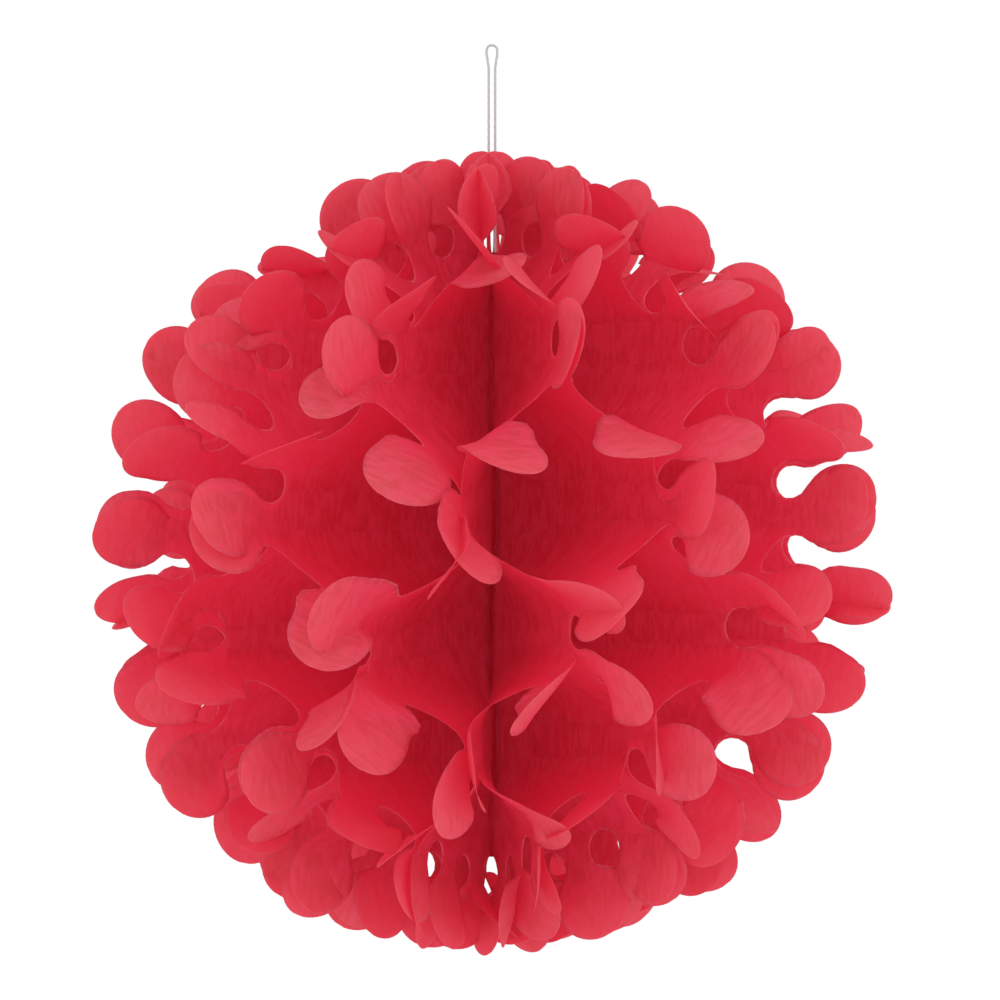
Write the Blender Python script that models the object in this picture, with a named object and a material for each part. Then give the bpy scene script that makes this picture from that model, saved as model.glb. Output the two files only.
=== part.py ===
"""Hanging puff ball: half-disc tissue sheets bound down a spine and opened right round.

Every sheet is the same cut: a half disc whose straight edge is glued to the spine and whose
round edge is cut into petals. Each sheet is glued to one neighbour along level lines at
every second height and to its other neighbour at the heights between, so the opened stack
makes diamond cells. Metres, +Z up, the origin at the top of the hanging loop, and the
front of the ball towards -Y.
"""

import math

import bmesh
import bpy
from mathutils import Vector

# Whole ball
BALL_RADIUS = 0.200         # spine to petal tip
LOOP_HEIGHT = 0.254         # ball centre to the top of the hanging loop
SHEETS = 20
PETALS = 14                 # along one sheet's round edge

# Sheet and spine
SHEET_THICKNESS = 0.0006
FIT_GAP = 0.0003            # between faces that touch
SPINE_RADIUS = 0.0037
INNER_EDGE = SPINE_RADIUS + FIT_GAP

# Petal cut: a round head and a round notch between two petals
HEAD_RADIUS = 0.0190
NOTCH_RADIUS = 0.0095
NOTCH_CENTRE = 0.1595       # spine to the middle of a notch's round end
HEAD_CENTRE = BALL_RADIUS - HEAD_RADIUS
NOTCH_BOTTOM = NOTCH_CENTRE - NOTCH_RADIUS
FIRST_PETAL = math.asin((HEAD_RADIUS + INNER_EDGE + 0.0005) / HEAD_CENTRE)
PETAL_PITCH = (math.pi - 2 * FIRST_PETAL) / (PETALS - 1)
HEAD_STEPS = 6              # straight lengths round a head
NOTCH_STEPS = 2             # straight lengths from a neck to the bottom of a notch

# Glue lines, as heights over the ball's centre. The even ones join sheet pairs round
# FRONT_SEAM, the odd ones join the pairs half a cell further round.
GLUE_LEVELS = (0.215, 0.160, 0.102, 0.0225, -0.036, -0.0886, -0.143, -0.200)
FIRST_LEVEL = -1            # order number of the first height in the list
FRONT_SEAM = math.radians(-94.5)

# Hanging loop: a doubled thread that widens into a small eye at the top
THREAD_DIAMETER = 0.0013
LOOP_HALF_WIDTH = 0.0016
EYE_HALF_WIDTH = 0.0027
EYE_LENGTH = 0.010          # height over which the strands part
LOOP_FOOT = NOTCH_BOTTOM - LOOP_HEIGHT + FIT_GAP
THREAD_STEP = 0.0034        # between points along the thread
BEND_STEPS = 8

SPINE_SIDES = 20


def clear_scene():
    for item in list(bpy.data.objects):
        bpy.data.objects.remove(item, do_unlink=True)


def material(name, colour, roughness):
    made = bpy.data.materials.new(name)
    made.use_nodes = True
    shader = made.node_tree.nodes["Principled BSDF"]
    shader.inputs["Base Color"].default_value = (*colour, 1.0)
    shader.inputs["Roughness"].default_value = roughness
    shader.inputs["Metallic"].default_value = 0.0
    made.diffuse_color = (*colour, 1.0)
    return made


def add_object(name, data, finish):
    made = bpy.data.objects.new(name, data)
    made.data.materials.append(finish)
    bpy.context.collection.objects.link(made)
    return made


def toward(angle, distance):
    """Flat point on a sheet: angle from straight up, distance from the ball's centre."""
    return Vector((math.sin(angle), math.cos(angle))) * distance


def arc(centre, radius, middle, start, end, steps):
    """Points round a circle, with angles counted from the direction `middle`."""
    turns = [start + (end - start) * step / steps for step in range(steps + 1)]
    return [centre + toward(middle + turn, radius) for turn in turns]


def petal_outline(order):
    """One petal from its left neck round the head to its right neck."""
    angle = FIRST_PETAL + PETAL_PITCH * order
    left, right = (toward(angle + side * PETAL_PITCH / 2, NOTCH_CENTRE) for side in (-1, 1))
    head = toward(angle, HEAD_CENTRE)
    to_head = head - left
    sweep = math.pi - (math.atan2(to_head.x, to_head.y) - angle) % (2 * math.pi)
    neck_left = left + toward(angle - PETAL_PITCH / 2 + math.pi / 2, NOTCH_RADIUS)
    neck_right = right + toward(angle + PETAL_PITCH / 2 - math.pi / 2, NOTCH_RADIUS)
    rim = arc(head, HEAD_RADIUS, angle, -sweep, sweep, HEAD_STEPS)
    return [neck_left] + rim + [neck_right]


def notch_half(angle, side):
    """Lower half of a notch's round end, from its bottom to the neck on one side."""
    centre = toward(angle, NOTCH_CENTRE)
    points = arc(centre, NOTCH_RADIUS, angle + math.pi, 0.0, -side * math.pi / 2, NOTCH_STEPS)
    points[0].x = max(points[0].x, INNER_EDGE)
    return points[:-1]


def flat_sheet():
    """The flat cut as a triangulated bmesh in the XZ plane, spine edge at X = INNER_EDGE."""
    sheet = bmesh.new()
    known = {}

    def corner(point):
        key = (round(point.x, 7), round(point.y, 7))
        if key not in known:
            known[key] = sheet.verts.new((point.x, 0.0, point.y))
        return known[key]

    for order in range(PETALS):
        angle = FIRST_PETAL + PETAL_PITCH * order
        petal = petal_outline(order)
        before = notch_half(angle - PETAL_PITCH / 2, 1)
        after = notch_half(angle + PETAL_PITCH / 2, -1)
        foot = [Vector((INNER_EDGE, side[0].y)) for side in (before, after)]
        sector = [foot[0]] + before + [petal[0], petal[-1]] + after[::-1] + [foot[1]]
        corners = []
        for vertex in map(corner, sector):
            if vertex not in corners:
                corners.append(vertex)
        sheet.faces.new(corners)
        sheet.faces.new([corner(point) for point in petal])
    bmesh.ops.triangulate(sheet, faces=sheet.faces[:])
    bmesh.ops.recalc_face_normals(sheet, faces=sheet.faces[:])
    return sheet


def glue_wave(height):
    """+1 on an even glue line, -1 on an odd one, with a flattened cosine between them."""
    place = 0
    while place < len(GLUE_LEVELS) - 2 and height < GLUE_LEVELS[place + 1]:
        place += 1
    upper, lower = GLUE_LEVELS[place:place + 2]
    phase = FIRST_LEVEL + place + (upper - height) / (upper - lower)
    swing = math.cos(math.pi * phase)
    return swing * (1.5 - 0.5 * swing * swing)


def open_sheet(sheet, order):
    """Swing a flat sheet of two layers (Y = 0 and 1) to its place round the spine."""
    half_cell = math.pi / SHEETS
    lean = -1 if order % 2 == 0 else 1
    middle = FRONT_SEAM + half_cell * (1 + 2 * order)
    for vertex in sheet.verts:
        radius, layer, height = vertex.co
        reach = half_cell - (SHEET_THICKNESS + FIT_GAP) / (2 * radius)
        angle = middle + lean * reach * glue_wave(height)
        angle += (layer - 0.5) * SHEET_THICKNESS / radius
        vertex.co = (radius * math.cos(angle), radius * math.sin(angle), height - LOOP_HEIGHT)


def tissue_sheet(order, finish):
    sheet = flat_sheet()
    raised = bmesh.ops.extrude_face_region(sheet, geom=sheet.faces[:])
    for item in raised["geom"]:
        if isinstance(item, bmesh.types.BMVert):
            item.co.y = 1.0
    open_sheet(sheet, order)
    bmesh.ops.triangulate(sheet, faces=sheet.faces[:])
    bmesh.ops.recalc_face_normals(sheet, faces=sheet.faces[:])
    mesh = bpy.data.meshes.new("tissue_sheet")
    sheet.to_mesh(mesh)
    sheet.free()
    add_object(f"tissue_sheet_{order + 1:02d}", mesh, finish)


def spine_binding(finish):
    """The glued roll of the sheets' straight edges, down the ball's axis."""
    roll = bmesh.new()
    bmesh.ops.create_cone(
        roll, cap_ends=True, segments=SPINE_SIDES, radius1=SPINE_RADIUS, radius2=SPINE_RADIUS,
        depth=2 * NOTCH_BOTTOM)
    bmesh.ops.translate(roll, verts=roll.verts[:], vec=(0.0, 0.0, -LOOP_HEIGHT))
    mesh = bpy.data.meshes.new("spine_binding")
    roll.to_mesh(mesh)
    roll.free()
    made = add_object("spine_binding", mesh, finish)
    made.data.shade_smooth()
    made.data.set_sharp_from_angle(angle=math.radians(40))


def loop_route():
    """Up one strand from the spine, over the bend at the origin and down the other."""
    bend_height = -THREAD_DIAMETER / 2 - EYE_HALF_WIDTH
    rises = max(2, round((bend_height - LOOP_FOOT) / THREAD_STEP))
    up = []
    for step in range(rises):
        height = LOOP_FOOT + (bend_height - LOOP_FOOT) * step / rises
        share = max(0.0, 1 - (bend_height - height) / EYE_LENGTH)
        parting = share * share * (3 - 2 * share)
        half = LOOP_HALF_WIDTH + (EYE_HALF_WIDTH - LOOP_HALF_WIDTH) * parting
        up.append(Vector((-half, 0.0, height)))
    turns = [math.pi * step / BEND_STEPS for step in range(BEND_STEPS + 1)]
    bend = [Vector((-EYE_HALF_WIDTH * math.cos(turn), 0.0,
                    bend_height + EYE_HALF_WIDTH * math.sin(turn))) for turn in turns]
    down = [Vector((-point.x, 0.0, point.z)) for point in reversed(up)]
    return up + bend + down


def hanging_string(finish):
    points = loop_route()
    curve = bpy.data.curves.new("hanging_string", "CURVE")
    curve.dimensions = "3D"
    curve.bevel_depth = THREAD_DIAMETER / 2
    curve.bevel_resolution = 2
    curve.use_fill_caps = True
    thread = curve.splines.new("POLY")
    thread.points.add(len(points) - 1)
    for target, point in zip(thread.points, points):
        target.co = (*point, 1.0)
    add_object("hanging_string", curve, finish)


def main():
    clear_scene()
    tissue = material("red_tissue", (0.62, 0.012, 0.030), 0.85)
    glue = material("spine_glue", (0.45, 0.010, 0.022), 0.70)
    thread = material("white_thread", (0.86, 0.86, 0.84), 0.60)
    for order in range(SHEETS):
        tissue_sheet(order, tissue)
    spine_binding(glue)
    hanging_string(thread)


main()
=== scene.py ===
"""Looks of a hanging tissue puff ball: petal-cut half-disc sheets, a glued spine and a thread.

The file is laid out as an add-on and is run as a script. Metres, +Z up, the front of the
ball towards -Y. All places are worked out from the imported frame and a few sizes.
"""

import math

import bpy
import numpy as np
from bpy.props import FloatProperty, FloatVectorProperty, IntProperty, PointerProperty
from bpy.types import Operator, Panel, PropertyGroup
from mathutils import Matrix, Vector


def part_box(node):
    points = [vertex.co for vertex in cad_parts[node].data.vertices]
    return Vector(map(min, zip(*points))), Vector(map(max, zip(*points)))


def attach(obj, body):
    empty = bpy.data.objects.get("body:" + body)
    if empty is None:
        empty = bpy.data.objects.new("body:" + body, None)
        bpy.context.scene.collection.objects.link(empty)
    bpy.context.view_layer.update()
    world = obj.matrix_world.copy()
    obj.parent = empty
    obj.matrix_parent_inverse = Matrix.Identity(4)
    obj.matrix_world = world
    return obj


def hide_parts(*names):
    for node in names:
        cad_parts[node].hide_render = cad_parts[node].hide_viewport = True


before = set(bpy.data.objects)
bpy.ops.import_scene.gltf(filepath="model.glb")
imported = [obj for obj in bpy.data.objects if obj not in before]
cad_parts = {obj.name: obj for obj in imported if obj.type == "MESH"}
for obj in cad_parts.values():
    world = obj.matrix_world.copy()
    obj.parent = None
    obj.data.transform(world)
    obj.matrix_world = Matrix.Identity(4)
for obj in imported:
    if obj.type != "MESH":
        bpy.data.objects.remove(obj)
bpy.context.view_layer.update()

bl_info = {
    "name": "Tissue Puff Ball",
    "version": (1, 0, 0),
    "blender": (4, 5, 0),
    "location": "3D View > Sidebar > Puff Ball",
    "description": "Builds an opened ball of petal-cut tissue sheets on a thread loop",
    "category": "Mesh",
}

BODY = "root"

# The frame gives the spine, and the spine gives the ball's centre and the notches' depth
SPINE_LOW, SPINE_HIGH = (np.array(corner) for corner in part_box("spine_binding"))
SPINE_RADIUS = float(SPINE_HIGH[0])
NOTCH_BOTTOM = float(SPINE_HIGH[2] - SPINE_LOW[2]) / 2
CENTRE_HEIGHT = float(SPINE_HIGH[2] + SPINE_LOW[2]) / 2
FIT_GAP = 0.0003
INNER_EDGE = SPINE_RADIUS + FIT_GAP
SHEET_NODES = sorted(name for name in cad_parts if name.startswith("tissue_sheet"))

# Glue lines, as heights over the ball's centre, from the one over the top downwards
GLUE_LEVELS = np.array((0.215, 0.160, 0.102, 0.0225, -0.036, -0.0886, -0.143, -0.200))
FIRST_LEVEL = -1
FRONT_SEAM = math.radians(-94.5)

# Thread loop: two strands that part into a small eye at the top
LOOP_HALF_WIDTH = 0.0016
EYE_HALF_WIDTH = 0.0027
EYE_LENGTH = 0.010          # height over which the strands part
PLIES = 3
PLY_STEP = 0.0042           # from one groove to the next along a strand
PLY_GROOVE = 0.08           # share of the radius

# Grid of one sheet: level rows from the spine to a ring, then rows outwards to the edge
RING_RADIUS = 0.135
LEVEL_ROWS = 19
OUTER_ROWS = 7
NOTCH_COLUMNS = 4
NECK_COLUMNS = 10
PETAL_ROWS = 15
SPINE_ROWS, SPINE_SIDES = 160, 120
THREAD_ROWS, THREAD_BEND_ROWS, THREAD_SIDES = 240, 24, 18

# Unevenness of the sheets and petals
SEED = 23
HEAD_GAP = 0.0005           # first and last head to the spine edge
GLUE_PRESS = 4              # sheet thicknesses that neighbours are pressed together by
DROOP_SCATTER = 3.0         # a petal's own share of the droop
UNCURL_SHARE = 0.45         # of a petal's length, over which it loses the sheet's curve
SMALL_STEP = 0.001          # for directions along a sheet
SLIP_START, SLIP_RUN = 0.05, 0.11       # radius from which a sheet's slip grows, and how far
SWELL_START, SWELL_RUN = 0.02, 0.10

# Front petals with turns of their own: (sheet, petal) to bend, twist and droop in degrees
FOLDED_OVER = {
    (20, 0): (-8, 50, 0), (1, 0): (10, -42, 0), (20, 1): (-6, 32, 0), (1, 1): (8, -26, 0),
    (20, 4): (-66, 6, 4), (20, 5): (-42, -16, 14), (20, 6): (-28, -40, 44),
    (20, 7): (-30, 12, 8), (20, 8): (-24, -14, 30), (20, 9): (-18, 8, 14),
    (1, 4): (-10, 6, 2), (1, 5): (34, -22, 16), (1, 6): (14, 44, 52), (1, 7): (24, 14, 8),
    (1, 8): (-30, 14, 28), (1, 9): (20, 10, 12),
    (2, 4): (10, -6, 0), (2, 5): (-40, 14, 6), (2, 7): (16, 8, 6), (2, 8): (30, -12, 28),
    (3, 5): (34, 8, 0), (3, 6): (40, -8, 26), (19, 6): (-20, 8, 12), (19, 8): (22, -8, 14),
}


# ------------------------------------------------------------------ flat cut

def toward(angle, distance):
    """Flat point: x = distance sin(angle) from the spine, z = distance cos(angle) up."""
    angle, distance = np.broadcast_arrays(angle, distance)
    return np.stack((np.sin(angle) * distance, np.cos(angle) * distance), -1)


class Cut:
    """The outline that every sheet is cut to, from the panel's sizes."""

    def __init__(self, sizes):
        self.radius = sizes.ball_radius
        self.count = sizes.petals
        self.head = sizes.head_radius
        self.head_centre = self.radius - self.head
        self.notch = sizes.notch_radius
        self.notch_centre = NOTCH_BOTTOM + self.notch
        first = math.asin((self.head + INNER_EDGE + HEAD_GAP) / self.head_centre)
        self.pitch = (math.pi - 2 * first) / (self.count - 1)
        self.angles = first + self.pitch * np.arange(self.count)
        half = self.pitch / 2
        self.neck_along = self.notch_centre * math.cos(half) + self.notch * math.sin(half)

    def edge_distance(self, flat):
        """Distance from flat points to the cut: to the nearest notch's circle, and beyond
        the necks also to the nearest head's."""
        places = flat.reshape(-1, 1, 2)
        bounds = self.angles[0] + self.pitch * (np.arange(self.count + 1) - 0.5)
        notch = np.linalg.norm(places - toward(bounds, self.notch_centre), axis=-1).min(1)
        head = np.linalg.norm(places - toward(self.angles, self.head_centre), axis=-1).min(1)
        beyond = np.linalg.norm(places[:, 0], axis=-1) > self.neck_along
        inside = np.where(beyond, self.head - head, self.head)
        neck = beyond & (inside < 0)
        return np.maximum(np.where(neck, notch - self.notch, np.minimum(
            notch - self.notch, inside)), 0)

    def half_width(self, along):
        """Half a petal's width at a distance from the centre: what the notch's circle leaves
        up to where it meets the head's circle, and half the head's chord beyond."""
        side = self.notch_centre * math.sin(self.pitch / 2)
        middle = self.notch_centre * math.cos(self.pitch / 2)
        rise = self.head_centre - middle
        meet = middle + rise * self.notch / (self.notch + self.head)
        notch = side - np.sqrt(np.clip(self.notch ** 2 - (along - middle) ** 2, 0, None))
        head = np.sqrt(np.clip(self.head ** 2 - (along - self.head_centre) ** 2, 0, None))
        return np.where(along < meet, notch, head)

    def edge(self):
        """The sheet's edge under the petals: for each petal a quarter circle up from the
        notch's bottom, a chord across the neck and a quarter circle down."""
        turn = np.linspace(0, math.pi / 2, NOTCH_COLUMNS + 1)
        before, after = self.angles - self.pitch / 2, self.angles + self.pitch / 2
        left = toward(before, self.notch_centre)[:, None] + toward(
            before[:, None] + math.pi - turn, self.notch)
        right = toward(after, self.notch_centre)[:, None] + toward(
            after[:, None] + math.pi + turn[::-1], self.notch)
        share = np.linspace(0, 1, NECK_COLUMNS + 1)[1:-1, None]
        chord = left[:, -1:] + (right[:, :1] - left[:, -1:]) * share
        points = np.concatenate((left, chord, right[:, :-1]), 1).reshape(-1, 2)
        points = np.vstack((points, right[-1, -1:]))
        points[:, 0] = np.maximum(points[:, 0], INNER_EDGE)
        return points

    def disc(self):
        """Rows from the spine level to a ring, and from the ring straight out to the edge."""
        edge = self.edge()
        ring = toward(np.arctan2(edge[:, 0], edge[:, 1]), RING_RADIUS)
        ring[:, 0] = np.maximum(ring[:, 0], INNER_EDGE)
        spine = np.stack((np.full(len(edge), INNER_EDGE), ring[:, 1]), -1)
        level = np.linspace(0, 1, LEVEL_ROWS + 1)[:-1, None, None]
        outer = np.linspace(0, 1, OUTER_ROWS + 1)[:, None, None]
        return np.concatenate((spine + (ring - spine) * level, ring + (edge - ring) * outer))

    def petals(self):
        """(along, across) of the rows over the neck: a sine of even steps along the petal,
        so closer together towards the tip, and even steps across it."""
        step = np.arange(1, PETAL_ROWS + 1) / (PETAL_ROWS + 1)
        along = self.neck_along + (self.radius - self.neck_along) * np.sin(step * math.pi / 2)
        across = self.half_width(along)[:, None] * np.linspace(-1, 1, NECK_COLUMNS + 1)
        return np.broadcast_to(along[:, None], across.shape), across


# ------------------------------------------------------- sheet opened in space

def smooth_step(value):
    """3 v^2 - 2 v^3 of the value held between 0 and 1."""
    value = np.clip(value, 0, 1)
    return value * value * (3 - 2 * value)


def glue_wave(height):
    """+1 on an even glue line, -1 on an odd one, with a flattened cosine between them."""
    order = FIRST_LEVEL + np.arange(len(GLUE_LEVELS))
    swing = np.cos(math.pi * np.interp(-height, -GLUE_LEVELS, order))
    return swing * (1.5 - 0.5 * swing * swing)


def open_out(flat, sheet, sheets, gap):
    """Flat points swung to their place: the azimuth follows the glue wave of the height."""
    radius, height = flat[..., 0], flat[..., 1]
    half_cell = math.pi / sheets
    lean = -1 if sheet % 2 == 0 else 1
    reach = half_cell - gap / (2 * radius)
    angle = FRONT_SEAM + half_cell * (1 + 2 * sheet) + lean * reach * glue_wave(height)
    return np.stack((radius * np.cos(angle), radius * np.sin(angle), height), -1)


def unit(vectors):
    return vectors / np.linalg.norm(vectors, axis=-1, keepdims=True)


def turned(vectors, axis, angle):
    """Vectors turned round unit axes by angles, by Rodrigues' formula."""
    cosine, sine = np.cos(angle)[..., None], np.sin(angle)[..., None]
    along = np.sum(vectors * axis, -1, keepdims=True)
    return vectors * cosine + np.cross(axis, vectors) * sine + axis * along * (1 - cosine)


def petal_bends(sheet, cut, outward, normal, flex):
    """Bend, twist, droop, swing, cup, ripple and the ripple's turn of each petal: away from
    the glued neighbour, down under its weight, away from the spine at the poles, and a
    seeded share of its own. The front petals take their first three from the table."""
    draw = np.random.default_rng(SEED + sheet)
    chance = draw.normal(0, 1, (6, cut.count))
    lean = -1 if sheet % 2 == 0 else 1
    height = cut.neck_along * np.cos(cut.angles)
    apart = -lean * glue_wave(height)
    level = np.hypot(outward[:, 0], outward[:, 1])
    bend = flex.spread * apart - flex.sag * normal[:, 2] + flex.scatter * chance[0]
    twist = flex.twist * chance[1]
    droop = level * flex.droop * (1 + DROOP_SCATTER * chance[2])
    droop += flex.crown * np.sign(outward[:, 2]) * (1 - level) ** 2
    cup = flex.cup * chance[3]
    ripple = flex.ripple * chance[4]
    turn = math.pi * chance[5]
    for (of_sheet, petal), turns in FOLDED_OVER.items():
        if of_sheet == sheet + 1:
            bend[petal], twist[petal], droop[petal] = np.radians(turns)
    swing = -flex.hang * np.sin(bend) * level
    return bend, twist, droop, swing, cup, ripple, turn


def bent_petals(sheet, cut, flex, sheets, gap):
    """Petals as (petal, row, column) points: each starts in line with the sheet, and its
    middle line then adds up short steps at a growing angle, while the head loses the
    sheet's curve, cups with the square of the width, twists about the middle line, and
    swings and droops about the neck."""
    along, across = cut.petals()
    axis, side = toward(cut.angles, 1.0), toward(cut.angles + math.pi / 2, 1.0)
    flat = (along[None, ..., None] * axis[:, None, None]
            + across[None, ..., None] * side[:, None, None])
    flat[..., 0] = np.maximum(flat[..., 0], INNER_EDGE)
    root_flat = cut.neck_along * axis
    root = open_out(root_flat, sheet, sheets, gap)
    outward = unit(open_out(root_flat + SMALL_STEP * axis, sheet, sheets, gap) - root)
    tangent = open_out(root_flat + SMALL_STEP * side, sheet, sheets, gap) - root
    normal = unit(np.cross(outward, tangent))
    crosswise = np.cross(normal, outward)
    bend, twist, droop, swing, cup, ripple, turn = petal_bends(
        sheet, cut, outward, normal, flex)

    length = along[:, 0] - cut.neck_along
    whole = cut.radius - cut.neck_along
    share = smooth_step(length / (flex.hinge * whole))
    angle = bend[:, None] * share
    before = np.concatenate((np.zeros((cut.count, 1)), angle[:, :-1]), 1)
    step = np.diff(np.concatenate(([0.0], length)))
    middle = (angle + before) / 2
    run = np.cumsum(np.cos(middle) * step, 1)
    lift = np.cumsum(np.sin(middle) * step, 1)

    outward, normal, crosswise, root = (
        item[:, None, None] for item in (outward, normal, crosswise, root))
    own = open_out(flat, sheet, sheets, gap) - root - length[:, None, None] * outward
    flatter = flex.relax * smooth_step(length / (UNCURL_SHARE * whole))[:, None, None]
    own = own * (1 - flatter) + across[..., None] * crosswise * flatter
    around = np.arctan2(across, along - cut.head_centre)
    reach = np.hypot(across, along - cut.head_centre) / cut.head
    lifted = cup[:, None, None] * (across / cut.head) ** 2 * share[:, None]
    lifted = lifted + ripple[:, None, None] * np.sin(2 * around + turn[:, None, None]) * (
        np.minimum(reach, 1.0) ** 2 * share[:, None])
    own = own + lifted[..., None] * normal
    own = turned(own, outward, (twist[:, None] * share)[..., None])
    own = turned(own, crosswise, -angle[..., None])
    line = run[:, :, None, None] * outward + lift[:, :, None, None] * normal
    hung = turned(line + own, outward, (swing[:, None] * share)[..., None])
    down = np.array((0.0, 0.0, -1.0))
    hinge = np.cross(outward, down)
    hinge = hinge / np.maximum(np.linalg.norm(hinge, axis=-1, keepdims=True), 1e-6)
    return root + turned(hung, hinge, (droop[:, None] * share)[..., None]), flat


def loosened(points, amount):
    """A slow swell of the whole ball, which moves neighbouring sheets together: each
    coordinate is pushed by two sines of the other two, 0.10 to 0.18 m long."""
    x, y, z = points[..., 0], points[..., 1], points[..., 2]
    away = smooth_step((np.hypot(x, y) - SWELL_START) / SWELL_RUN)
    push = np.stack((
        np.sin(31 * z + 23 * y + 0.4) + 0.6 * np.sin(47 * y - 38 * z + 1.9),
        np.sin(29 * x - 27 * z + 2.2) + 0.6 * np.sin(52 * z + 33 * x + 0.7),
        0.8 * np.sin(26 * x + 24 * y + 1.1) + 0.5 * np.sin(44 * x - 41 * y + 3.0)), -1)
    return points + amount * away[..., None] * push


def grid_faces(index):
    """Four-sided faces over a grid of vertex numbers."""
    return np.stack((index[:-1, :-1], index[:-1, 1:], index[1:, 1:], index[1:, :-1]),
                    -1).reshape(-1, 4)


def vertex_normals(points, faces):
    """The mean direction of the faces round each vertex, weighted by their areas."""
    corner = points[faces]
    across = np.cross(corner[:, 2] - corner[:, 0], corner[:, 3] - corner[:, 1])
    total = np.zeros_like(points)
    for place in range(4):
        np.add.at(total, faces[:, place], across)
    return unit(total)


def thickened(points, faces, thickness):
    """A closed shell: both sides of a surface, half the thickness away, and its rim."""
    normals = vertex_normals(points, faces)
    count = len(points)
    sides = np.vstack((points + normals * thickness / 2, points - normals * thickness / 2))
    edges = np.stack((faces, np.roll(faces, -1, 1)), -1).reshape(-1, 2)
    forward = edges[:, 0] * count + edges[:, 1]
    backward = edges[:, 1] * count + edges[:, 0]
    free = edges[~np.isin(forward, backward)]
    rim = np.stack((free[:, 1], free[:, 0], free[:, 0] + count, free[:, 1] + count), -1)
    return sides, np.vstack((faces, faces[:, ::-1] + count, rim))


def sheet_surface(sheet, cut, flex, sheets, thickness):
    """Points, flat places and faces of one opened sheet, before its thickness. The sheets
    are pressed a little into each other where they are glued, and slip a little up or down."""
    gap = -GLUE_PRESS * thickness
    disc_flat = cut.disc()
    disc = open_out(disc_flat, sheet, sheets, gap)
    petals, petals_flat = bent_petals(sheet, cut, flex, sheets, gap)
    index = np.arange(disc_flat.shape[0] * disc_flat.shape[1]).reshape(disc_flat.shape[:2])
    faces = [grid_faces(index)]
    sector = 2 * NOTCH_COLUMNS + NECK_COLUMNS
    neck = slice(NOTCH_COLUMNS, NOTCH_COLUMNS + NECK_COLUMNS + 1)
    first = index[-1, :-1].reshape(cut.count, sector)[:, neck]
    upper = index.size + np.arange(petals[..., 0].size).reshape(petals.shape[:3])
    rows = np.concatenate((first[:, None], upper), 1)
    faces += [grid_faces(rows[petal]) for petal in range(cut.count)]
    points = np.vstack((disc.reshape(-1, 3), petals.reshape(-1, 3)))
    flat = np.vstack((disc_flat.reshape(-1, 2), petals_flat.reshape(-1, 2)))
    slip = flex.slip * np.random.default_rng(SEED * (sheet + 1)).uniform(-1, 1)
    radius = np.hypot(points[:, 0], points[:, 1])
    points[:, 2] += slip * smooth_step((radius - SLIP_START) / SLIP_RUN)
    return points, flat, np.vstack(faces)


# ---------------------------------------------------------------- mesh making

def mesh_piece(name, points, faces, flat=None, edge=None):
    """A smooth mesh object at the origin from arrays, with the flat places as its UV map
    and the distance to the cut as an attribute."""
    mesh = bpy.data.meshes.new(name)
    faces = np.ascontiguousarray(faces, dtype=np.int32)
    mesh.vertices.add(len(points))
    mesh.vertices.foreach_set("co", np.ascontiguousarray(points, dtype=np.float32).ravel())
    mesh.loops.add(faces.size)
    mesh.loops.foreach_set("vertex_index", faces.ravel())
    mesh.polygons.add(len(faces))
    mesh.polygons.foreach_set("loop_start", np.arange(0, faces.size, 4, dtype=np.int32))
    mesh.update(calc_edges=True)
    if flat is not None:
        layer = mesh.uv_layers.new(name="flat_cut")
        layer.data.foreach_set("uv", flat[faces.ravel()].astype(np.float32).ravel())
    if edge is not None:
        distances = mesh.attributes.new("edge_distance", "FLOAT", "POINT")
        distances.data.foreach_set("value", edge.astype(np.float32))
    mesh.validate()
    mesh.shade_smooth()
    piece = bpy.data.objects.new(name, mesh)
    bpy.context.scene.collection.objects.link(piece)
    return piece


def flat_area(flat, faces):
    """Area of the cut: half the cross product of each flat face's diagonals."""
    corner = flat[faces]
    first, second = corner[:, 2] - corner[:, 0], corner[:, 3] - corner[:, 1]
    return float(np.abs(first[:, 0] * second[:, 1] - first[:, 1] * second[:, 0]).sum() / 2)


def tube(path, radius_at, sides):
    """A tube: rings square to a path in the XZ plane, with a radius of place and turn, and a
    flat cap at each end, which leaves out a sliver at its first and at its middle corner."""
    ahead = unit(np.gradient(path, axis=0))
    side = np.stack((ahead[:, 2], np.zeros(len(path)), -ahead[:, 0]), -1)
    other = np.cross(ahead, side)
    turn = np.linspace(0, 2 * math.pi, sides, endpoint=False)
    run = np.concatenate(([0.0], np.cumsum(np.linalg.norm(np.diff(path, axis=0), axis=1))))
    radius = radius_at(run[:, None], turn[None, :])
    rings = path[:, None] + radius[..., None] * (
        np.cos(turn)[None, :, None] * side[:, None]
        + np.sin(turn)[None, :, None] * other[:, None])
    flat = np.stack(np.broadcast_arrays(turn[None, :] / (2 * math.pi), run[:, None]), -1)
    index = np.arange(len(path) * sides).reshape(len(path), sides)
    wrapped = np.concatenate((index, index[:, :1]), 1)
    faces = [grid_faces(wrapped)]
    half = sides // 2
    for ring, back in ((index[0], True), (index[-1], False)):
        left, right = ring[:half + 1], np.roll(ring[::-1], 1)[:half + 1]
        cap = np.stack((left[:-1], left[1:], right[1:], right[:-1]), -1)
        faces.append(cap if back else cap[:, ::-1])
    return rings.reshape(-1, 3), flat.reshape(-1, 2), np.vstack(faces)


def finish_piece(piece, finish):
    """Give a piece its material and its body."""
    piece.data.materials.append(finish)
    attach(piece, BODY)


# ------------------------------------------------------------------ materials

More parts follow.
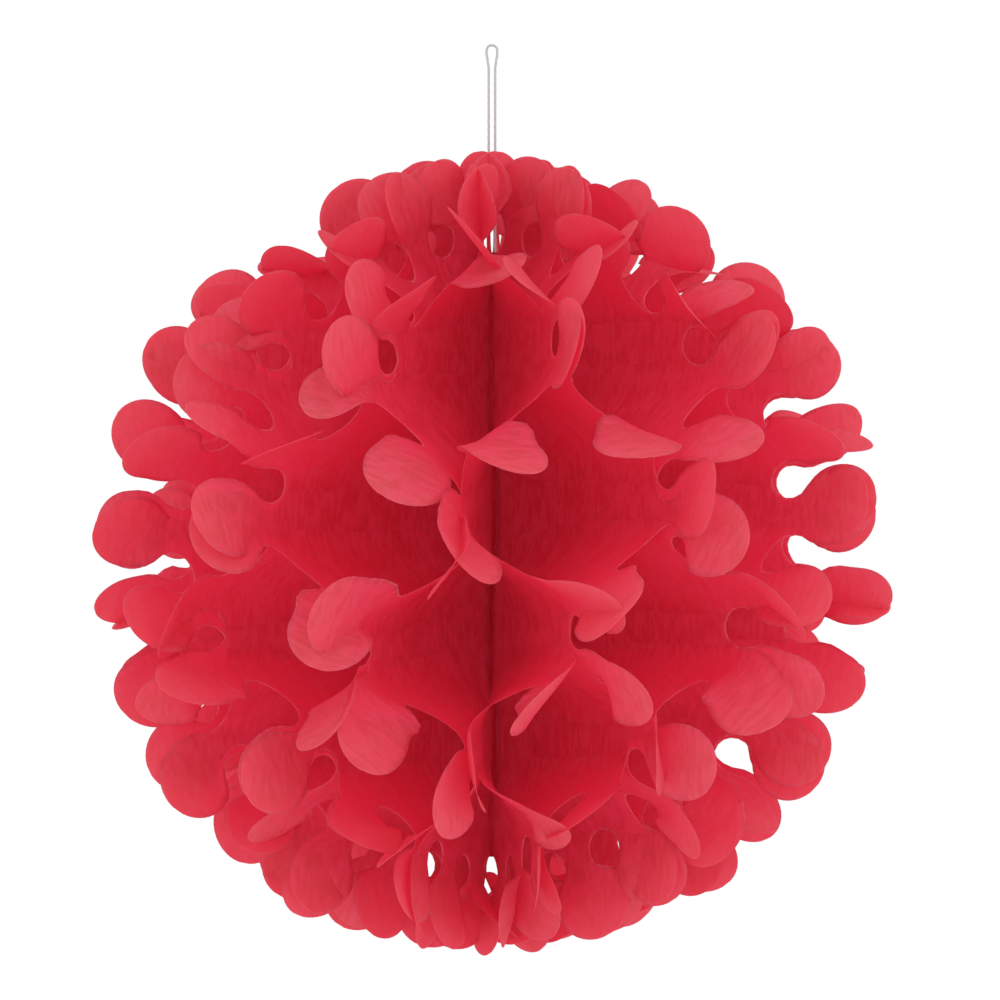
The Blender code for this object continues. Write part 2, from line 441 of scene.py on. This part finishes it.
class Wire:
    """A number socket in a node tree. Its operators add the Math node that they name."""

    def __init__(self, graph, socket):
        self.graph, self.socket = graph, socket

    def joined(self, operation, first, second):
        node = self.graph.add("ShaderNodeMath", {"operation": operation}, {0: first, 1: second})
        return Wire(self.graph, node.outputs[0])

    def __add__(self, other):
        return self.joined("ADD", self, other)

    def __radd__(self, other):
        return self.joined("ADD", other, self)

    def __mul__(self, other):
        return self.joined("MULTIPLY", self, other)

    def __rmul__(self, other):
        return self.joined("MULTIPLY", other, self)


class Graph:
    """A material's node tree, filled with one method."""

    def __init__(self, name):
        self.material = bpy.data.materials.new(name)
        self.material.use_nodes = True
        self.tree = self.material.node_tree
        self.tree.nodes.clear()

    def add(self, kind, settings, inputs):
        """A node of a type, with its settings first and then its sockets' values or links."""
        node = self.tree.nodes.new(kind)
        for name, value in settings.items():
            setattr(node, name, value)
        for name, value in inputs.items():
            socket = node.inputs[name]
            if isinstance(value, Wire):
                value = value.socket
            if isinstance(value, bpy.types.NodeSocket):
                self.tree.links.new(value, socket)
            else:
                socket.default_value = value
        return node

    def value(self, kind, settings, inputs, output=0):
        """A node's number output, ready for sums."""
        return Wire(self, self.add(kind, settings, inputs).outputs[output])

    def span(self, value, low, high, to_low=0.0, to_high=1.0):
        """A value's range stretched smoothly onto another range."""
        return self.value("ShaderNodeMapRange", {"interpolation_type": "SMOOTHSTEP"}, {
            "Value": value, "From Min": low, "From Max": high,
            "To Min": to_low, "To Max": to_high})

    def colours(self, share, first, second):
        """Two colours mixed by a share, each a linear colour or a socket."""
        node = self.add("ShaderNodeMix", {"data_type": "RGBA"}, {0: share})
        for place, colour in ((6, first), (7, second)):
            if isinstance(colour, bpy.types.NodeSocket):
                self.tree.links.new(colour, node.inputs[place])
            else:
                node.inputs[place].default_value = (*colour, 1.0)
        return node.outputs[2]

    def finish(self, shader):
        self.add("ShaderNodeOutputMaterial", {}, {"Surface": shader})
        return self.material


def tissue_finish(finish, order):
    """Thin dyed tissue: long fibres and clouds in the pulp, soft creases, light through it, and
    a faint painted glow of its own.
    Its colour pales from the webs, which lie many deep, to the petals, where the paler colour
    is painted light for the backdrop shining through one layer; it pales once more at the cut."""
    graph = Graph(f"red_tissue_{order:02d}")
    flat = graph.add("ShaderNodeUVMap", {"uv_map": "flat_cut"}, {}).outputs[0]
    place = graph.add("ShaderNodeMapping", {}, {
        "Vector": flat, "Location": (0.37 * order, 0.61 * order, 0.0)}).outputs[0]
    drawn = graph.add("ShaderNodeMapping", {}, {
        "Vector": place, "Scale": (1.0, 0.22, 1.0), "Rotation": (0.0, 0.0, 0.12)}).outputs[0]
    fibres = graph.value("ShaderNodeTexNoise", {"noise_dimensions": "2D"}, {
        "Vector": drawn, "Scale": 420.0, "Detail": 2.0, "Roughness": 0.6})
    clouds = graph.value("ShaderNodeTexNoise", {"noise_dimensions": "2D"}, {
        "Vector": place, "Scale": 75.0, "Detail": 2.0, "Roughness": 0.6})
    tone = graph.span(clouds * 0.45 + fibres * 0.55, 0.34, 0.66)
    web = graph.colours(tone, finish.tissue_deep, finish.tissue_pale)
    # Painted light: petals far from the centre take a paler colour for the white backdrop lit
    # through one layer of tissue, and the webs keep the deeper red.
    from_centre = graph.value("ShaderNodeVectorMath", {"operation": "LENGTH"}, {0: flat}, 1)
    painted_backlight_share = graph.span(from_centre + clouds * 0.03, 0.164, 0.236) * (0.6 + 0.4 * tone)
    edge = graph.value("ShaderNodeAttribute", {"attribute_name": "edge_distance"}, {}, 2)
    worn = graph.span(edge + fibres * 0.0006, 0.0003, 0.0012, 0.55, 0.0)
    petal = graph.colours(worn, finish.petal_colour_with_painted_backlight, finish.tissue_edge)
    colour = graph.colours(graph.value("ShaderNodeMath", {"operation": "MAXIMUM"}, {
        0: painted_backlight_share, 1: worn}), web, petal)
    bump = graph.add("ShaderNodeBump", {}, {
        "Height": clouds * 0.8 + fibres * 0.2, "Strength": 0.5, "Distance": 0.0015}).outputs[0]
    # The emission is a painted glow: the tissue's own light, which stands in for light that
    # reaches every fold through the sheets.
    paper = graph.add("ShaderNodeBsdfPrincipled", {}, {
        "Base Color": colour, "Normal": bump, "Roughness": 0.82,
        "Specular IOR Level": 0.2, "Emission Color": (*finish.through_light_and_painted_glow, 1.0),
        "Emission Strength": finish.painted_glow_strength}).outputs[0]
    glow = graph.add("ShaderNodeBsdfTranslucent", {}, {
        "Color": (*finish.through_light_and_painted_glow, 1.0)}).outputs[0]
    thin = graph.span(tone, 0.0, 1.0, 0.82 * finish.glow_share, 1.18 * finish.glow_share)
    return graph.finish(graph.add("ShaderNodeMixShader", {}, {
        0: thin, 1: paper, 2: glow}).outputs[0])


def spine_finish(finish):
    """Tissue edges soaked with dried glue: deeper red, with streaks along the spine."""
    graph = Graph("glued_spine")
    place = graph.add("ShaderNodeTexCoord", {}, {}).outputs["Object"]
    drawn = graph.add("ShaderNodeMapping", {}, {
        "Vector": place, "Scale": (1.0, 1.0, 0.15)}).outputs[0]
    streaks = graph.value("ShaderNodeTexNoise", {}, {
        "Vector": drawn, "Scale": 700.0, "Detail": 4.0})
    colour = graph.colours(graph.span(streaks, 0.3, 0.7), finish.spine_deep, finish.tissue_deep)
    bump = graph.add("ShaderNodeBump", {}, {
        "Height": streaks, "Strength": 0.5, "Distance": 0.0005}).outputs[0]
    return graph.finish(graph.add("ShaderNodeBsdfPrincipled", {}, {
        "Base Color": colour, "Roughness": 0.75, "Specular IOR Level": 0.1,
        "Normal": bump}).outputs[0])


def thread_finish(finish):
    """White twisted thread, coloured grey as painted shade so that its strands show against the
    white: fine fibre noise along the plies.
    """
    graph = Graph("white_thread")
    flat = graph.add("ShaderNodeUVMap", {"uv_map": "flat_cut"}, {}).outputs[0]
    drawn = graph.add("ShaderNodeMapping", {}, {
        "Vector": flat, "Scale": (6.0, 900.0, 1.0), "Rotation": (0.0, 0.0, 0.5)}).outputs[0]
    fibres = graph.value("ShaderNodeTexNoise", {"noise_dimensions": "2D"}, {
        "Vector": drawn, "Scale": 3.0, "Detail": 3.0})
    shade = tuple(0.86 * part for part in finish.thread)
    colour = graph.colours(graph.span(fibres, 0.3, 0.7), shade, finish.thread)
    bump = graph.add("ShaderNodeBump", {}, {
        "Height": fibres, "Strength": 0.4, "Distance": 0.0002}).outputs[0]
    return graph.finish(graph.add("ShaderNodeBsdfPrincipled", {}, {
        "Base Color": colour, "Roughness": 0.7, "Normal": bump}).outputs[0])


def stage_finish(finish):
    """Pale even floor, with a little light of its own so that it runs into the backdrop."""
    graph = Graph("pale_floor")
    return graph.finish(graph.add("ShaderNodeBsdfPrincipled", {}, {
        "Base Color": (*finish.floor, 1.0), "Roughness": 0.9, "Specular IOR Level": 0.0,
        "Emission Color": (1.0, 1.0, 1.0, 1.0), "Emission Strength": 0.16}).outputs[0])


# ------------------------------------------------------------ sizes and looks

class PUFFBALL_PG_cut(PropertyGroup):
    """Sizes of the ball and of its cut."""
    ball_radius: FloatProperty(
        name="Ball Radius", description="Spine to petal tip", default=0.200,
        unit="LENGTH", subtype="DISTANCE", precision=4)
    petals: IntProperty(
        name="Petals", description="Petals along one sheet's round edge", default=14, min=4)
    head_radius: FloatProperty(
        name="Head Radius", description="Radius of a petal's round head", default=0.0190,
        unit="LENGTH", subtype="DISTANCE", precision=4)
    notch_radius: FloatProperty(
        name="Notch Radius", description="Radius of the notch between two petals",
        default=0.0095, unit="LENGTH", subtype="DISTANCE", precision=4)
    thickness: FloatProperty(
        name="Sheet Thickness", description="Thickness of a tissue sheet", default=0.00012,
        unit="LENGTH", subtype="DISTANCE", precision=5)
    thread_diameter: FloatProperty(
        name="Thread Diameter", description="Diameter of one strand", default=0.0013,
        unit="LENGTH", subtype="DISTANCE", precision=4)


class PUFFBALL_PG_flex(PropertyGroup):
    """How far the petals bend from the line of their sheet."""
    spread: FloatProperty(
        name="Spread", description="Bend away from the sheet glued beside it",
        default=math.radians(12), subtype="ANGLE")
    sag: FloatProperty(
        name="Sag", description="Bend under the petal's weight on a level sheet",
        default=math.radians(3), subtype="ANGLE")
    scatter: FloatProperty(
        name="Scatter", description="Spread of each petal's own bend",
        default=math.radians(14), subtype="ANGLE")
    twist: FloatProperty(
        name="Twist", description="Spread of each petal's own twist",
        default=math.radians(12), subtype="ANGLE")
    droop: FloatProperty(
        name="Droop", description="Turn of a level petal towards the floor",
        default=math.radians(4), subtype="ANGLE")
    crown: FloatProperty(
        name="Crown", description="Turn away from the spine of the petals at both poles",
        default=math.radians(36), subtype="ANGLE")
    hang: FloatProperty(
        name="Hang", description="Swing towards the floor of a petal that is bent sideways",
        default=math.radians(28), subtype="ANGLE")
    hinge: FloatProperty(
        name="Hinge", description="Share of a petal's length over which it bends",
        default=0.5, min=0.1, max=1.0, subtype="FACTOR")
    relax: FloatProperty(
        name="Relax", description="Share of the sheet's own curve that a head loses",
        default=0.9, min=0.0, max=1.0, subtype="FACTOR")
    cup: FloatProperty(
        name="Cup", description="Spread of the rise of a head's sides", default=0.0013,
        unit="LENGTH", subtype="DISTANCE", precision=4)
    ripple: FloatProperty(
        name="Ripple", description="Spread of the wave round a head", default=0.0009,
        unit="LENGTH", subtype="DISTANCE", precision=4)
    slip: FloatProperty(
        name="Slip", description="Most that a sheet's outer part is shifted up or down",
        default=0.0085, unit="LENGTH", subtype="DISTANCE", precision=4)
    swell: FloatProperty(
        name="Swell", description="Slow unevenness of the whole ball", default=0.0018,
        unit="LENGTH", subtype="DISTANCE", precision=4)


class PUFFBALL_PG_finish(PropertyGroup):
    """Colours, as linear values, how much light the tissue lets through, and the strength of
    its painted glow.
    """
    tissue_pale: FloatVectorProperty(
        name="Tissue", description="Tissue where the pulp is thin", subtype="COLOR",
        default=(0.81, 0.075, 0.165), min=0.0, max=1.0)
    tissue_deep: FloatVectorProperty(
        name="Tissue, Deep", description="Tissue where the pulp is thick", subtype="COLOR",
        default=(0.80, 0.048, 0.118), min=0.0, max=1.0)
    # Painted light: a paler red that stands in for the backdrop lit through one layer of
    # tissue.
    petal_colour_with_painted_backlight: FloatVectorProperty(
        name="Tissue, Petals", description="Petals, where one layer is lit from both sides",
        subtype="COLOR", default=(0.79, 0.275, 0.305), min=0.0, max=1.0)
    tissue_edge: FloatVectorProperty(
        name="Tissue, Edge", description="Fuzzy cut edge", subtype="COLOR",
        default=(0.90, 0.420, 0.450), min=0.0, max=1.0)
    # Colour of the real light through the tissue and also of its painted glow.
    through_light_and_painted_glow: FloatVectorProperty(
        name="Light Through Tissue", description="Colour of light that comes through",
        subtype="COLOR", default=(0.93, 0.105, 0.215), min=0.0, max=1.0)
    spine_deep: FloatVectorProperty(
        name="Spine", description="Glue-soaked edges", subtype="COLOR",
        default=(0.70, 0.025, 0.045), min=0.0, max=1.0)
    # Painted shade: the white thread is coloured grey so that its shaded strands show against
    # the white backdrop.
    thread: FloatVectorProperty(
        name="Thread", description="Hanging thread", subtype="COLOR",
        default=(0.60, 0.60, 0.60), min=0.0, max=1.0)
    floor: FloatVectorProperty(
        name="Floor", description="Stage floor", subtype="COLOR",
        default=(0.85, 0.85, 0.85), min=0.0, max=1.0)
    # Strength of the painted glow: the tissue's own emission, which stands in for light that
    # reaches every fold.
    painted_glow_strength: FloatProperty(
        name="Spread Light", description="Light that reaches every fold through the sheets",
        default=0.115, min=0.0, max=1.0, subtype="FACTOR")
    glow_share: FloatProperty(
        name="Glow Share", description="Share of the light that passes on through the tissue",
        default=0.60, min=0.0, max=1.0, subtype="FACTOR")


# ------------------------------------------------------------------ operators

class PUFFBALL_OT_tissue_sheets(Operator):
    """Build the petal-cut tissue sheets, opened round the spine"""
    bl_idname = "puffball.tissue_sheets"
    bl_label = "Tissue Sheets"

    def execute(self, context):
        sizes, flex = context.scene.puffball_cut, context.scene.puffball_flex
        cut = Cut(sizes)
        rise = np.array((0.0, 0.0, CENTRE_HEIGHT))
        for order, node in enumerate(SHEET_NODES):
            points, flat, faces = sheet_surface(
                order, cut, flex, len(SHEET_NODES), sizes.thickness)
            area = flat_area(flat, faces)
            shell, shell_faces = thickened(
                loosened(points, flex.swell) + rise, faces, sizes.thickness)
            piece = mesh_piece(f"petal_sheet_{order + 1:02d}", shell, shell_faces,
                               np.vstack((flat, flat)), np.tile(cut.edge_distance(flat), 2))
            finish_piece(piece, tissue_finish(context.scene.puffball_finish, order))
            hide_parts(node)
        return {"FINISHED"}


class PUFFBALL_OT_spine(Operator):
    """Build the glued roll of tissue edges down the axis"""
    bl_idname = "puffball.spine"
    bl_label = "Spine"

    def execute(self, context):
        heights = np.linspace(SPINE_LOW[2], SPINE_HIGH[2], SPINE_ROWS)
        path = np.stack((0 * heights, 0 * heights, heights), -1)
        sheets, pleat, wave, wave_number = len(SHEET_NODES), 0.045, 0.012, 260

        def radius_at(run, turn):
            """One pleat for each sheet round the spine, and a slow slanting wave."""
            pleats = pleat * np.abs(np.cos(sheets / 2 * turn))
            return SPINE_RADIUS * (
                1 - pleat - wave + pleats - wave * np.sin(wave_number * run + turn))

        points, flat, faces = tube(path, radius_at, SPINE_SIDES)
        piece = mesh_piece("glued_spine", points, faces, flat)
        finish_piece(piece, spine_finish(context.scene.puffball_finish))
        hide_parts("spine_binding")
        return {"FINISHED"}


class PUFFBALL_OT_hanging_thread(Operator):
    """Build the doubled twisted thread that the ball hangs by"""
    bl_idname = "puffball.hanging_thread"
    bl_label = "Hanging Thread"

    def execute(self, context):
        diameter = context.scene.puffball_cut.thread_diameter
        low, high = (np.array(corner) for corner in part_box("hanging_string"))
        foot, bend = float(low[2]), float(high[2]) - diameter / 2 - EYE_HALF_WIDTH
        heights = np.linspace(foot, bend, THREAD_ROWS)
        parting = smooth_step(1 - (bend - heights) / EYE_LENGTH)
        half = LOOP_HALF_WIDTH + (EYE_HALF_WIDTH - LOOP_HALF_WIDTH) * parting
        turns = np.linspace(0, math.pi, THREAD_BEND_ROWS)[1:-1]
        up = np.stack((-half, 0 * half, heights), -1)
        over = np.stack((-EYE_HALF_WIDTH * np.cos(turns), 0 * turns,
                         bend + EYE_HALF_WIDTH * np.sin(turns)), -1)
        path = np.vstack((up, over, up[::-1] * (-1, 1, 1)))

        def radius_at(run, turn):
            """Plies that wind round the strand, with a groove between them."""
            winding = 2 * math.pi / PLY_STEP / PLIES * run
            return diameter / 2 * (
                1 - PLY_GROOVE + PLY_GROOVE * np.cos(PLIES * (turn - winding)))

        points, flat, faces = tube(path, radius_at, THREAD_SIDES)
        piece = mesh_piece("hanging_thread", points, faces, flat)
        finish_piece(piece, thread_finish(context.scene.puffball_finish))
        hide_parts("hanging_string")
        return {"FINISHED"}


class PUFFBALL_OT_stage(Operator):
    """Build the floor, the white surroundings, one soft lamp and the camera"""
    bl_idname = "puffball.stage"
    bl_label = "Stage"

    def execute(self, context):
        floor_drop, floor_reach, floor_rows = 0.55, 14, 5
        spread = np.linspace(-floor_reach, floor_reach, floor_rows)
        across, away = np.meshgrid(spread, spread)
        points = np.stack((across, away, np.full_like(across, CENTRE_HEIGHT - floor_drop)), -1)
        index = np.arange(floor_rows ** 2).reshape(floor_rows, floor_rows)
        floor = mesh_piece("floor", points.reshape(-1, 3), grid_faces(index))
        floor.data.materials.append(stage_finish(context.scene.puffball_finish))

        world = bpy.data.worlds.new("white_room")
        world.use_nodes = True
        surround = world.node_tree.nodes["Background"].inputs
        surround["Color"].default_value = (1, 1, 1, 1)
        surround["Strength"].default_value = 1.0
        context.scene.world = world

        light = bpy.data.lights.new("key", "AREA")
        light.shape, light.size, light.energy = "DISK", 1.1, 3.0
        from_ball = np.array((1.3, -1.3, 0.8))
        lamp = bpy.data.objects.new("key", light)
        lamp.location = from_ball + (0, 0, CENTRE_HEIGHT)
        lamp.rotation_euler = (
            math.acos(from_ball[2] / np.linalg.norm(from_ball)), 0.0,
            math.atan2(-from_ball[1], -from_ball[0]) - math.pi / 2)
        context.scene.collection.objects.link(lamp)

        distance, frame_width, aside, above = 1.60, 0.4975, 0.0040, 0.0271
        lens = bpy.data.cameras.new("camera")
        lens.lens = lens.sensor_width * distance / frame_width
        camera = bpy.data.objects.new("camera", lens)
        camera.location = (aside, -distance, CENTRE_HEIGHT + above)
        camera.rotation_euler = (math.pi / 2, 0.0, 0.0)
        context.scene.collection.objects.link(camera)
        context.scene.camera = camera
        context.scene.view_settings.view_transform = "Standard"
        context.scene.cycles.max_bounces = 8
        return {"FINISHED"}


class PUFFBALL_PT_panel(Panel):
    """Sizes, looks and build steps in the sidebar"""
    bl_idname = "PUFFBALL_PT_panel"
    bl_label = "Puff Ball"
    bl_space_type = "VIEW_3D"
    bl_region_type = "UI"
    bl_category = "Puff Ball"

    def draw(self, context):
        for group in (context.scene.puffball_cut, context.scene.puffball_flex,
                      context.scene.puffball_finish):
            column = self.layout.box().column()
            for name in group.__annotations__:
                column.prop(group, name)
        for step in STEPS:
            self.layout.operator(step.bl_idname)


STEPS = (PUFFBALL_OT_stage, PUFFBALL_OT_hanging_thread, PUFFBALL_OT_spine,
         PUFFBALL_OT_tissue_sheets)
GROUPS = {"puffball_cut": PUFFBALL_PG_cut, "puffball_flex": PUFFBALL_PG_flex,
          "puffball_finish": PUFFBALL_PG_finish}


def register():
    for made in (*GROUPS.values(), *STEPS, PUFFBALL_PT_panel):
        bpy.utils.register_class(made)
    for name, group in GROUPS.items():
        setattr(bpy.types.Scene, name, PointerProperty(type=group))


def unregister():
    for name in GROUPS:
        delattr(bpy.types.Scene, name)
    for made in (PUFFBALL_PT_panel, *reversed(STEPS), *GROUPS.values()):
        bpy.utils.unregister_class(made)


def main():
    register()
    bpy.ops.puffball.stage()
    bpy.ops.puffball.hanging_thread()
    bpy.ops.puffball.spine()
    bpy.ops.puffball.tissue_sheets()


if __name__ == "__main__":
    main()
